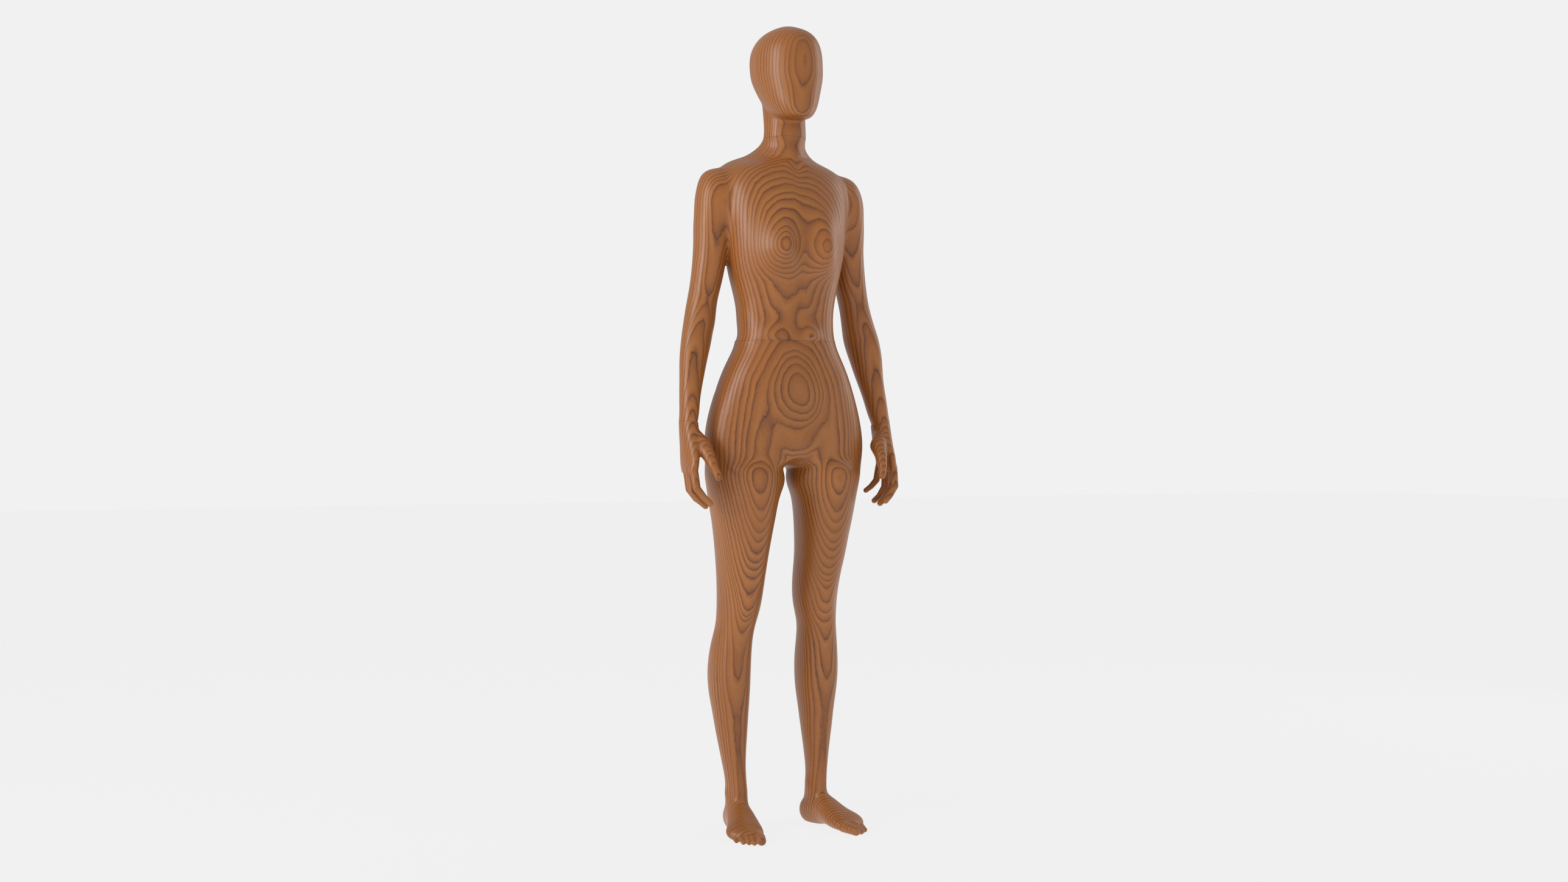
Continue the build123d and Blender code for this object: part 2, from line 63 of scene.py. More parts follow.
CLOSE = 0.0004  # points this near a seam belong to its end face
# The wooden CAD nodes and the bodies they ride on
BODY_OF = {
    "head": "head_body", "torso": "upper_body", "pelvis": "lower_body", "left_leg": "lower_body",
    "right_leg": "lower_body", "left_arm": "left_arm_body", "right_arm": "right_arm_body",
    "left_hand": "left_hand_body", "right_hand": "right_hand_body",
}


# ---------------------------------------------------------------- meshes as arrays
def flip(values, side):
    """Places or directions for the left side (1) or the right side (-1)."""
    return np.array(values) * (side, 1, 1)


def piece_arrays(name):
    """Points and triangles of a CAD node, its end faces pushed a little way into the next piece."""
    mesh = nodes[name].data
    mesh.calc_loop_triangles()
    points = np.empty(len(mesh.vertices) * 3, np.float32)
    mesh.vertices.foreach_get("co", points)
    points = points.reshape(-1, 3).astype(float)
    faces = np.empty(len(mesh.loop_triangles) * 3, np.int32)
    mesh.loop_triangles.foreach_get("vertices", faces)
    faces = faces.reshape(-1, 3)
    if name == "head":
        points[points[:, 2] < NECK_Z + CLOSE, 2] -= PUSH
    if name == "torso":
        points[points[:, 2] < WAIST_Z + CLOSE, 2] -= PUSH
    if name.endswith("_leg"):
        points[points[:, 2] > LEG_Z - CLOSE, 2] += PUSH
    side = -1 if name.startswith("right") else 1
    for part, centre, out in (("_arm", SHOULDER, SHOULDER_OUT), ("_hand", WRIST, WRIST_OUT)):
        if name.endswith(part):
            near = np.abs((flip(points, side) - centre) @ out) < CLOSE
            points[near] -= flip(out, side) * PUSH
    return points, faces


def rod(centre, axis, radius, start, end, sides=64):
    """A closed cylinder as points and triangles."""
    axis = np.array(axis, float) / np.linalg.norm(axis)
    across = np.cross(axis, (0.0, 1.0, 0.1) if abs(axis[1]) < 0.8 else (1.0, 0, 0.1))
    across /= np.linalg.norm(across)
    third = np.cross(axis, across)
    turn = np.arange(sides) * 2 * math.pi / sides
    ring = np.outer(np.cos(turn), across) * radius + np.outer(np.sin(turn), third) * radius
    centre = np.array(centre, float)
    points = np.vstack((
        ring + centre + axis * start,
        ring + centre + axis * end,
        [centre + axis * start, centre + axis * end],
    ))
    i = np.arange(sides)
    j = (i + 1) % sides
    low, high = 2 * sides, 2 * sides + 1
    faces = np.vstack((
        np.stack((i, j, j + sides), 1),
        np.stack((i, j + sides, i + sides), 1),
        np.stack((j, i, np.full(sides, low)), 1),
        np.stack((i + sides, j + sides, np.full(sides, high)), 1),
    ))
    return points, faces


def merged(parts):
    """Several (points, faces) as one."""
    points, faces, count = [], [], 0
    for p, f in parts:
        points.append(p)
        faces.append(f + count)
        count += len(p)
    return np.vstack(points), np.vstack(faces)


def mesh_object(name, points, faces):
    """A linked mesh object made from arrays of points and of triangles or quads."""
    mesh = bpy.data.meshes.new(name)
    mesh.from_pydata([tuple(p) for p in points.tolist()], [], [tuple(f) for f in faces.tolist()])
    obj = bpy.data.objects.new(name, mesh)
    bpy.context.scene.collection.objects.link(obj)
    return obj


def evaluated_mesh(obj):
    """The object's mesh with its modifiers applied."""
    graph = bpy.context.evaluated_depsgraph_get()
    return bpy.data.meshes.new_from_object(obj.evaluated_get(graph))


def remeshed(parts, voxel):
    """One even skin of quads round several overlapping closed forms."""
    obj = mesh_object("form", *merged(parts))
    modifier = obj.modifiers.new("skin", "REMESH")
    modifier.mode = "VOXEL"
    modifier.voxel_size = voxel
    mesh = evaluated_mesh(obj)
    points = np.empty(len(mesh.vertices) * 3, np.float32)
    mesh.vertices.foreach_get("co", points)
    sizes = np.empty(len(mesh.polygons), np.int32)
    mesh.polygons.foreach_get("loop_total", sizes)
    corners = np.empty(len(mesh.loops), np.int32)
    mesh.loops.foreach_get("vertex_index", corners)
    if (sizes != 4).any():
        raise RuntimeError("the skin has faces that aren't quads")
    bpy.data.objects.remove(obj)
    bpy.data.meshes.remove(mesh)
    return points.reshape(-1, 3).astype(float), corners.reshape(-1, 4)


# ---------------------------------------------------------------- carving
LEAST_WEIGHT = 0.004  # points that weigh less aren't moved
SHRINK, SWELL = 0.5, -0.53  # the two steps of one round of even smoothing


def edges_of(faces):
    """Each edge of a mesh of quads once, as two columns."""
    pairs = np.vstack([faces[:, (i, (i + 1) % faces.shape[1])] for i in range(faces.shape[1])])
    pairs.sort(axis=1)
    return np.unique(pairs, axis=0)


def relax(points, edges, weight, rounds, step=0.5):
    """Moves each point towards the middle of its neighbours, by its weight. Points of no weight stay."""
    weight = np.broadcast_to(weight, (len(points),))
    free = weight > LEAST_WEIGHT
    near = free[edges[:, 0]] | free[edges[:, 1]]
    here, local = np.unique(edges[near], return_inverse=True)
    local = local.reshape(-1, 2)
    a, b = local[:, 0], local[:, 1]
    count = len(here)
    degree = np.bincount(a, minlength=count) + np.bincount(b, minlength=count)
    moving = points[here]
    share = np.where(free[here], weight[here], 0.0)[:, None] * step
    for _ in range(rounds):
        middle = np.stack([
            np.bincount(a, moving[b, k], count) + np.bincount(b, moving[a, k], count) for k in range(3)
        ], 1) / degree[:, None]
        moving = moving + (middle - moving) * share
    points = points.copy()
    points[here] = moving
    return points


def smoothed(points, edges, rounds):
    """Evens out the steps of the remesh and keeps the volume."""
    for _ in range(rounds):
        points = relax(points, edges, 1.0, 1, SHRINK)
        points = relax(points, edges, 1.0, 1, SWELL)
    return points


def normals_of(points, faces):
    """Outward unit normals at the points."""
    across = points[faces[:, 2]] - points[faces[:, 0]]
    along = points[faces[:, 3]] - points[faces[:, 1]]
    face = np.cross(across, along)
    total = np.stack([
        sum(np.bincount(faces[:, c], face[:, k], len(points)) for c in range(4)) for k in range(3)
    ], 1)
    return total / np.maximum(np.linalg.norm(total, axis=1), 1e-12)[:, None]


def hill(points, centre, reach):
    """1 at a centre, falling off smoothly over its reach along x, y and z."""
    d = (points - np.array(centre)) / np.array(reach)
    return np.exp(-(d * d).sum(1))


def raised(points, hills):
    """The height that a table of hills gives the points."""
    height = np.zeros(len(points))
    for centre, reach, amount in hills:
        height += hill(points, centre, reach) * amount
    return height


def folded(points):
    """The points with the right side laid over the left one."""
    return np.abs(points * (1, 0, 0)) + points * (0, 1, 1)


def near_path(points, path, width):
    """1 on a line of points, falling off smoothly over a width."""
    best = np.full(len(points), 1e9)
    path = np.array(path, float)
    for a, b in zip(path, path[1:]):
        run = b - a
        t = np.clip(((points - a) @ run) / (run @ run), 0, 1)
        d = points - a - t[:, None] * run
        best = np.minimum(best, (d * d).sum(1))
    return np.exp(-best / width**2)


# Voxel of each skin. The rounds of relaxing are stated for the body's and the hand's.
HEAD_VOXEL, BODY_VOXEL, LEGS_VOXEL, HAND_VOXEL = 0.0016, 0.0023, 0.00195, 0.0011
# Each swelling or hollow of the body: centre, reach, height; both sides alike
BODY_HILLS = [
    ((0.0, -0.045, 1.436), (0.014, 0.03, 0.014), -0.0035),  # hollow above the breastbone
    ((0.075, -0.055, 1.462), (0.030, 0.03, 0.012), -0.0020),  # hollow above the collarbone
    ((0.068, -0.115, 1.245), (0.034, 0.05, 0.036), 0.0020),  # fullness of the bust
    ((0.060, -0.085, 1.190), (0.045, 0.05, 0.014), -0.0020),  # under the bust
    ((0.0, -0.095, 1.250), (0.012, 0.05, 0.060), -0.0030),  # between the breasts
    ((0.0, -0.075, 1.120), (0.012, 0.04, 0.080), -0.0012),  # middle of the belly
    ((0.0, -0.085, 0.985), (0.075, 0.05, 0.060), 0.0025),  # lower belly
    ((0.0, -0.085, 0.842), (0.030, 0.05, 0.028), 0.0035),  # mound below the belly
    ((0.022, 0.0, 0.762), (0.016, 0.07, 0.034), 0.0105),  # inner side of the thigh
    ((0.0, -0.082, 0.796), (0.030, 0.045, 0.022), -0.0160),  # under the mound
    ((0.110, -0.070, 0.990), (0.020, 0.05, 0.030), 0.0015),  # hip bone
    ((0.0, 0.085, 1.300), (0.012, 0.05, 0.120), -0.0035),  # furrow of the spine
    ((0.0, 0.080, 1.120), (0.014, 0.05, 0.100), -0.0045),  # the same in the small of the back
    ((0.075, 0.095, 1.350), (0.045, 0.05, 0.060), 0.0040),  # shoulder blade
    ((0.040, 0.095, 1.350), (0.016, 0.05, 0.060), -0.0015),  # its inner edge
    ((0.036, 0.085, 1.120), (0.022, 0.05, 0.090), 0.0020),  # muscle beside the spine
    ((0.045, 0.085, 1.020), (0.012, 0.05, 0.012), -0.0025),  # dimple of the loins
    ((0.120, 0.050, 0.900), (0.045, 0.05, 0.050), -0.0030),  # hollow at the side of the seat
    ((0.096, -0.075, 0.620), (0.035, 0.05, 0.120), 0.0015),  # front of the thigh
    ((0.093, -0.025, 0.492), (0.028, 0.05, 0.032), 0.0050),  # kneecap
    ((0.093, -0.020, 0.445), (0.016, 0.05, 0.016), -0.0015),  # below the kneecap
    ((0.065, -0.015, 0.500), (0.012, 0.04, 0.030), -0.0020),  # beside the kneecap
    ((0.120, -0.010, 0.500), (0.012, 0.04, 0.030), -0.0020),  # beside the kneecap
    ((0.093, 0.095, 0.495), (0.024, 0.04, 0.040), -0.0050),  # hollow of the knee
    ((0.082, 0.105, 0.350), (0.024, 0.05, 0.070), 0.0040),  # calf
    ((0.128, 0.105, 0.370), (0.020, 0.05, 0.060), 0.0025),  # its outer half
    ((0.105, 0.110, 0.340), (0.008, 0.05, 0.070), -0.0012),  # between the halves
    ((0.072, 0.048, 0.088), (0.010, 0.014, 0.014), 0.0030),  # inner ankle bone
    ((0.121, 0.058, 0.080), (0.010, 0.014, 0.014), 0.0030),  # outer ankle bone
    ((0.099, 0.085, 0.110), (0.010, 0.02, 0.040), 0.0020),  # tendon of the heel
    ((0.080, 0.078, 0.105), (0.010, 0.012, 0.030), -0.0025),  # beside the tendon
    ((0.118, 0.080, 0.105), (0.010, 0.012, 0.030), -0.0025),  # beside the tendon
]
# Each ridge or fold: its path, width and height
COLLARBONE = [(0.018, -0.050, 1.446), (0.060, -0.055, 1.452), (0.110, -0.040, 1.452)]
GROIN = [(0.014, -0.055, 0.800), (0.036, -0.078, 0.822), (0.066, -0.088, 0.850)]
SEAT_CLEFT = [(0.0, 0.10, 0.800), (0.0, 0.11, 0.850), (0.0, 0.11, 0.900), (0.0, 0.105, 0.955)]
UNDER_SEAT = [(0.030, 0.09, 0.806), (0.070, 0.105, 0.800), (0.120, 0.090, 0.806)]
BODY_LINES = [
    (COLLARBONE, 0.008, 0.0018),
    (GROIN, 0.009, -0.0040),
    (SEAT_CLEFT, 0.009, -0.0160),
    (UNDER_SEAT, 0.010, -0.0060),
]
# The body's hills are scaled by this on the arms, which lie out past ARM_X and above ARM_Z
ARM_X, ARM_Z, ON_ARMS = 0.155, 0.7, 0.2


def carved_body(points, faces, edges, voxel):
    """Adds the swellings and folds of the body and softens where its pieces meet."""
    pace = (BODY_VOXEL / voxel) ** 2
    q = folded(points)
    body = q[:, 0] < 0.2
    between = hill(q, (0.0, 0.0, 0.790), (0.060, 0.3, 0.200))
    hips = np.exp(-(((q[:, 2] - LEG_Z - 0.004) / 0.030) ** 2)) * body * (1 - between)
    points = relax(points, edges, hips, int(260 * pace))
    crotch = hill(q, (0.012, 0.0, 0.797), (0.034, 0.2, 0.020))
    points = relax(points, edges, crotch, int(50 * pace))
    q = folded(points)
    armpit = hill(q, (0.145, 0.03, 1.300), (0.030, 0.09, 0.050))
    shoulder = hill(q, (0.138, 0.02, 1.400), (0.050, 0.11, 0.075))
    nape = hill(q, (0.0, 0.006, 1.600), (0.06, 0.06, 0.030)) * 0.7
    chin = hill(q, (0.0, -0.03, 1.545), (0.06, 0.06, 0.020)) * 0.5
    ankle = hill(q, (0.097, 0.03, 0.070), (0.05, 0.06, 0.035))
    points = relax(points, edges, shoulder, int(150 * pace))
    soft = np.clip(armpit * 0.8 + ankle + nape + chin, 0, 1)
    points = relax(points, edges, soft, int(70 * pace))
    q = folded(points)
    normals = normals_of(points, faces)
    height = raised(q, BODY_HILLS)
    for path, width, amount in BODY_LINES:
        height += near_path(q, path, width) * amount
    arms = (q[:, 0] > ARM_X) & (q[:, 2] > ARM_Z)
    height[arms] *= ON_ARMS
    return points + normals * height[:, None]


FINGER_ROOTS = [(0.237, -0.050, 0.790), (0.238, -0.034, 0.787), (0.237, -0.017, 0.787), (0.233, 0.002, 0.792)]
# Each swelling or hollow of the left hand: centre, reach, height
HAND_HILLS = [
    ((0.252, -0.046, 0.786), (0.010, 0.008, 0.010), 0.0012),  # knuckles
    ((0.253, -0.032, 0.785), (0.010, 0.008, 0.010), 0.0012),
    ((0.252, -0.016, 0.786), (0.010, 0.008, 0.010), 0.0012),
    ((0.218, -0.005, 0.820), (0.012, 0.022, 0.030), -0.0030),  # hollow of the palm
]


def carved_hand(points, faces, edges, voxel):
    """Softens the roots of the fingers and the ball of the thumb."""
    roots = np.clip(sum(hill(points, c, (0.016, 0.013, 0.016)) for c in FINGER_ROOTS), 0, 1)
    thumb = hill(points, (0.214, -0.032, 0.842), (0.022, 0.028, 0.026))
    palm = hill(points, (0.230, -0.015, 0.845), (0.03, 0.05, 0.05)) * 0.7
    pace = (HAND_VOXEL / voxel) ** 2
    points = relax(points, edges, np.clip(roots * 0.6 + thumb + palm, 0, 1), int(60 * pace))
    points = relax(points, edges, 0.5, 4)
    normals = normals_of(points, faces)
    return points + normals * raised(points, HAND_HILLS)[:, None]


# ---------------------------------------------------------------- cutting into pieces
CUT_MARGIN = 0.012  # skin taken along beyond the cutting planes
LEAST_FACES = 100  # a recess that leaves fewer has failed
SHARP = math.radians(50)
SCREW_RADIUS = 0.0016


def cut_piece(name, points, faces, planes, seed, cutters):
    """Cuts a closed piece out of a skin by planes (point, direction kept), keeps what is joined to the
    vertex nearest the seed, closes it, and hollows it by the cutters."""
    mask = np.ones(len(points), bool)
    for at, keep in planes:
        mask &= (points - np.array(at)) @ np.array(keep) > -CUT_MARGIN
    used = mask[faces].all(axis=1)
    kept = faces[used]
    index = np.full(len(points), -1)
    here = np.unique(kept)
    index[here] = np.arange(len(here))
    obj = mesh_object(name, points[here], index[kept])
    bm = bmesh.new()
    bm.from_mesh(obj.data)
    for at, keep in planes:
        bmesh.ops.bisect_plane(
            bm, geom=bm.verts[:] + bm.edges[:] + bm.faces[:], dist=1e-7, plane_co=at, plane_no=keep,
            clear_inner=True,
        )
    bm.verts.ensure_lookup_table()
    places = np.array([v.co for v in bm.verts])
    first = bm.verts[int(((places - np.array(seed)) ** 2).sum(1).argmin())]
    seen, stack = {first}, [first]
    while stack:
        vert = stack.pop()
        for edge in vert.link_edges:
            other = edge.other_vert(vert)
            if other not in seen:
                seen.add(other)
                stack.append(other)
    bmesh.ops.delete(bm, geom=[v for v in bm.verts if v not in seen], context="VERTS")
    rim = [e for e in bm.edges if e.is_boundary]
    result = bmesh.ops.edgeloop_fill(bm, edges=rim)
    bmesh.ops.triangulate(bm, faces=result["faces"])
    bmesh.ops.recalc_face_normals(bm, faces=bm.faces)
    bm.to_mesh(obj.data)
    bm.free()
    if cutters:
        tool = mesh_object(name + "_tool", *merged(cutters))
        modifier = obj.modifiers.new("recess", "BOOLEAN")
        modifier.operation = "DIFFERENCE"
        modifier.solver = "MANIFOLD"
        modifier.object = tool
        mesh = evaluated_mesh(obj)
        obj.modifiers.clear()
        if len(mesh.polygons) > LEAST_FACES:
            obj.data = mesh
        else:
            print("recess failed on", name)
        bpy.data.objects.remove(tool)
    obj.data.polygons.foreach_set("use_smooth", np.ones(len(obj.data.polygons), bool))
    obj.data.set_sharp_from_angle(angle=SHARP)
    return obj


def screw_holes(centre, axis, circle, count, start, end, first):
    """Holes for the screws of a fitting, on a circle round its axis; first is the way to the first one."""
    axis = np.array(axis) / np.linalg.norm(axis)
    u = np.array(first, float) - (np.array(first, float) @ axis) * axis
    u /= np.linalg.norm(u)
    w = np.cross(axis, u)
    holes = []
    for k in range(count):
        turn = 2 * math.pi * k / count
        place = np.array(centre) + (u * math.cos(turn) + w * math.sin(turn)) * circle
        holes.append(rod(place, axis, SCREW_RADIUS, start, end, 12))
    return holes


# ---------------------------------------------------------------- the wooden pieces
def mirrored(points, faces):
    """The same skin for the right side, its faces turned to point outwards."""
    return flip(points, -1), faces[:, ::-1]


COARSE = 1.0
# Plugs fill the CAD pieces' recesses, so that the skin closes over them
neck_plug = rod(NECK, UP, 0.035, -0.035, 0.035)
waist_plug = rod(WAIST, UP, 0.047, -0.050, 0.050)
shoulder_plugs = []
wrist_plugs = []
for side in (1, -1):
    shoulder, shoulder_out = flip(SHOULDER, side), flip(SHOULDER_OUT, side)
    shoulder_plugs += [
        rod(shoulder, shoulder_out, 0.034, -0.035, 0.000),
        rod(shoulder, shoulder_out, 0.029, -0.002, 0.006),
        rod(shoulder, shoulder_out, 0.024, 0.0, 0.033),
    ]
    wrist_plugs.append(rod(flip(WRIST, side), flip(WRIST_OUT, side), 0.0152, -0.019, 0.019))
leg_plugs = [
    rod(flip(LEG, -1), UP, 0.042, -0.052, 0.030),
    rod(LEG, UP, 0.055, -0.042, 0.042),
]
tube_plug = rod(SOCKET, UP, 0.008, 0.0012, 0.0735)


def finished(parts, voxel, carve, rounds):
    """A skin round overlapping forms, with its steps evened out and its details carved."""
    voxel *= COARSE
    points, faces = remeshed(parts, voxel)
    edges = edges_of(faces)
    return carve(smoothed(points, edges, rounds), faces, edges, voxel), faces


head_skin = finished(
    [piece_arrays("head"), piece_arrays("torso"), neck_plug] + shoulder_plugs, HEAD_VOXEL, carved_body, 8
)
trunk_skin = finished(
    [piece_arrays(name) for name in BODY_OF]
    + [neck_plug, waist_plug, tube_plug] + shoulder_plugs + leg_plugs + wrist_plugs,
    BODY_VOXEL, carved_body, 6,
)
legs_skin = finished(
    [piece_arrays(n) for n in ("pelvis", "left_leg", "right_leg")] + [waist_plug, tube_plug] + leg_plugs,
    LEGS_VOXEL, carved_body, 6,
)
left_hand_skin = finished(
    [piece_arrays("left_arm"), piece_arrays("left_hand"), wrist_plugs[0]], HAND_VOXEL, carved_hand, 6
)
hand_skins = {1: left_hand_skin, -1: mirrored(*left_hand_skin)}

# The recesses for the fittings, as rods along each joint's axis; the neck's screws get their holes too
torso_cutters = [rod(NECK, UP, 0.030, -0.0032, 0.002), rod(NECK, UP, 0.015, -0.0092, 0.002)]
torso_cutters += screw_holes(NECK, UP, 0.023, 3, -0.025, 0.0, (0, 1, 0))
torso_cutters += [rod(WAIST, UP, 0.045, -0.002, 0.0032), rod(WAIST, UP, 0.026, -0.002, 0.0485)]
for side in (1, -1):
    shoulder, shoulder_out = flip(SHOULDER, side), flip(SHOULDER_OUT, side)
    torso_cutters += [
        rod(shoulder, shoulder_out, 0.032, -0.0032, 0.002),
        rod(shoulder, shoulder_out, 0.016, -0.0090, 0.002),
    ]
above_neck, below_neck = NECK + UP * HALF_SEAM, NECK - UP * HALF_SEAM
above_waist, below_waist = WAIST + UP * HALF_SEAM, WAIST - UP * HALF_SEAM

wooden = {}
wooden["head"] = cut_piece(
    "wood_head", *head_skin, [(above_neck, UP)], (0, 0.0, 1.70), [rod(NECK, UP, 0.027, -0.002, 0.0032)]
)
wooden["torso"] = cut_piece(
    "wood_torso",
    *trunk_skin,
    [
        (below_neck, -UP),
        (above_waist, UP),
        (SHOULDER - SHOULDER_OUT * HALF_SEAM, -SHOULDER_OUT),
        (flip(SHOULDER - SHOULDER_OUT * HALF_SEAM, -1), -flip(SHOULDER_OUT, -1)),
    ],
    (0, -0.09, 1.30),
    torso_cutters,
)
wooden["pelvis"] = cut_piece(
    "wood_pelvis",
    *trunk_skin,
    [(below_waist, -UP), (LEG, UP)],
    (0, -0.09, 0.95),
    [
        rod(WAIST, UP, 0.045, -0.0032, 0.002),
        rod(flip(LEG, -1), UP, 0.040, -0.002, 0.003),
    ],
)
for name, side in (("left", 1), ("right", -1)):
    shoulder, shoulder_out = flip(SHOULDER, side), flip(SHOULDER_OUT, side)
    wrist, wrist_out = flip(WRIST, side), flip(WRIST_OUT, side)
    wooden[name + "_arm"] = cut_piece(
        f"wood_{name}_arm",
        *trunk_skin,
        [(shoulder + shoulder_out * HALF_SEAM, shoulder_out), (wrist - wrist_out * HALF_SEAM, -wrist_out)],
        flip((0.205, 0.02, 1.25), side),
        [
            rod(shoulder, shoulder_out, 0.028, -0.002, 0.0032),
            rod(wrist, wrist_out, 0.0145, -0.0027, 0.002),
            rod(wrist, wrist_out, 0.008, -0.0072, 0.002),
        ],
    )
    wooden[name + "_hand"] = cut_piece(
        f"wood_{name}_hand",
        *hand_skins[side],
        [(wrist + wrist_out * HALF_SEAM, wrist_out)],
        flip((0.236, -0.02, 0.80), side),
        [rod(wrist, wrist_out, 0.0125, -0.002, 0.0027)],
    )
# The legs are also cut apart in the middle, where their skins touch
wooden["left_leg"] = cut_piece(
    "wood_left_leg",
    *legs_skin,
    [(LEG, -UP), ((0, 0, 0), (1, 0, 0))],
    (0.093, -0.03, 0.49),
    [rod(SOCKET, UP, 0.007, -0.002, 0.0715)],
)
wooden["right_leg"] = cut_piece(
    "wood_right_leg",
    *legs_skin,
    [(LEG, -UP), ((0, 0, 0), (-1, 0, 0))],
    (-0.093, -0.03, 0.49),
    [rod(flip(LEG, -1), UP, 0.040, -0.003, 0.002), rod(flip(LEG, -1), UP, 0.021, -0.048, 0.002)],
)


# ---------------------------------------------------------------- materials
def new_material(name):
    """A node material with its main shader."""
    material = bpy.data.materials.new(name)
    material.use_nodes = True
    tree = material.node_tree
    return material, tree, tree.nodes["Principled BSDF"]


def math_node(tree, operation, first, second=0.0, third=0.0):
    """A Math node; its inputs are numbers or outputs of other nodes."""
    node = tree.nodes.new("ShaderNodeMath")
    node.operation = operation
    for socket, value in zip(node.inputs, (first, second, third)):
        if isinstance(value, (int, float)):
            socket.default_value = value
        else:
            tree.links.new(value, socket)
    return node.outputs[0]


def noise(tree, vector, scale, detail=2.0, roughness=0.5, stretch=None, one_d=None):
    """A noise texture from 0 to 1 about 0.5, on a vector stretched by factors, or along one value."""
    node = tree.nodes.new("ShaderNodeTexNoise")
    node.inputs["Scale"].default_value = scale
    node.inputs["Detail"].default_value = detail
    node.inputs["Roughness"].default_value = roughness
    if one_d is not None:
        node.noise_dimensions = "1D"
        tree.links.new(one_d, node.inputs["W"])
        return node.outputs["Fac"]
    if stretch:
        mapping = tree.nodes.new("ShaderNodeMapping")
        mapping.inputs["Scale"].default_value = stretch
        tree.links.new(vector, mapping.inputs["Vector"])
        vector = mapping.outputs["Vector"]
    tree.links.new(vector, node.inputs["Vector"])
    return node.outputs["Fac"]


def ramp(tree, value, stops):
    """A colour ramp; stops are (place, (r, g, b)) or (place, grey)."""
    node = tree.nodes.new("ShaderNodeValToRGB")
    elements = node.color_ramp.elements
    while len(elements) < len(stops):
        elements.new(0.5)
    for element, (place, colour) in zip(elements, stops):
        element.position = place
        rgb = colour if isinstance(colour, tuple) else (colour, colour, colour)
        element.color = (*rgb, 1.0)
    tree.links.new(value, node.inputs["Fac"])
    return node.outputs["Color"]


def mixed(tree, kind, factor, first, second):
    """A colour mix; factor is a number or an output, and so are the colours."""
    node = tree.nodes.new("ShaderNodeMix")
    node.data_type = "RGBA"
    node.blend_type = kind
    for socket, value in ((node.inputs[0], factor), (node.inputs[6], first), (node.inputs[7], second)):
        if isinstance(value, (int, float)):
            socket.default_value = value
        elif isinstance(value, tuple):
            socket.default_value = (*value, 1.0)
        else:
            tree.links.new(value, socket)
    return node.outputs[2]


def linear(red, green, blue):
    """A display colour from 0 to 255 as a linear one."""
    return tuple(
        c / 12.92 if c <= 0.04045 else ((c + 0.055) / 1.055) ** 2.4
        for c in (red / 255, green / 255, blue / 255)
    )


def object_coordinates(tree):
    """The piece's own coordinates, in metres."""
    return tree.nodes.new("ShaderNodeTexCoord").outputs["Object"]


def add_bump(tree, shader, height, strength, distance):
    """Fine relief from a height."""
    bump = tree.nodes.new("ShaderNodeBump")
    bump.inputs["Strength"].default_value = strength
    bump.inputs["Distance"].default_value = distance
    tree.links.new(height, bump.inputs["Height"])
    tree.links.new(bump.outputs["Normal"], shader.inputs["Normal"])


RING_SPACING = 0.0068
UNEVEN_RINGS = 2.4  # how far the spacing wanders, in rings
LEAN = 0.080  # how far forward each layer comes, per metre to the left
SLOW_WARP, MIDDLE_WARP, RAGGED_WARP = 0.030, 0.0060, 0.0021
WOOD_LIGHT = linear(177, 111, 52)
WOOD_MID = linear(161, 97, 42)
WOOD_SHADE = linear(134, 78, 36)
WOOD_LINE = linear(86, 48, 26)
# Where the growth layers bulge: centre and reach across and up, and how far
BULGES = [
    ((-0.012, 0.962), (0.044, 0.066), -0.026),
    ((0.022, 0.925), (0.032, 0.040), -0.010),
    ((-0.098, 0.812), (0.036, 0.120), -0.013),
    ((0.098, 0.815), (0.040, 0.125), -0.013),
    ((-0.062, 1.262), (0.026, 0.030), -0.006),
    ((0.062, 1.262), (0.024, 0.028), -0.006),
    ((0.0, 1.440), (0.018, 0.050), 0.008),
    ((0.0, 1.660), (0.024, 0.060), -0.008),
]


def bulge(tree, coordinates, centre, reach, amount):
    """A smooth hill of a given height over a place seen from the front."""
    offset = tree.nodes.new("ShaderNodeVectorMath")
    offset.operation = "SUBTRACT"
    offset.inputs[1].default_value = (centre[0], 0, centre[1])
    tree.links.new(coordinates, offset.inputs[0])
    scaled = tree.nodes.new("ShaderNodeVectorMath")
    scaled.operation = "MULTIPLY"
    scaled.inputs[1].default_value = (1 / reach[0], 0, 1 / reach[1])
    tree.links.new(offset.outputs[0], scaled.inputs[0])
    square = tree.nodes.new("ShaderNodeVectorMath")
    square.operation = "DOT_PRODUCT"
    tree.links.new(scaled.outputs[0], square.inputs[0])
    tree.links.new(scaled.outputs[0], square.inputs[1])
    fall = math_node(tree, "MULTIPLY", square.outputs["Value"], -1.0)
    fall = math_node(tree, "EXPONENT", fall)
    return math_node(tree, "MULTIPLY", fall, amount)


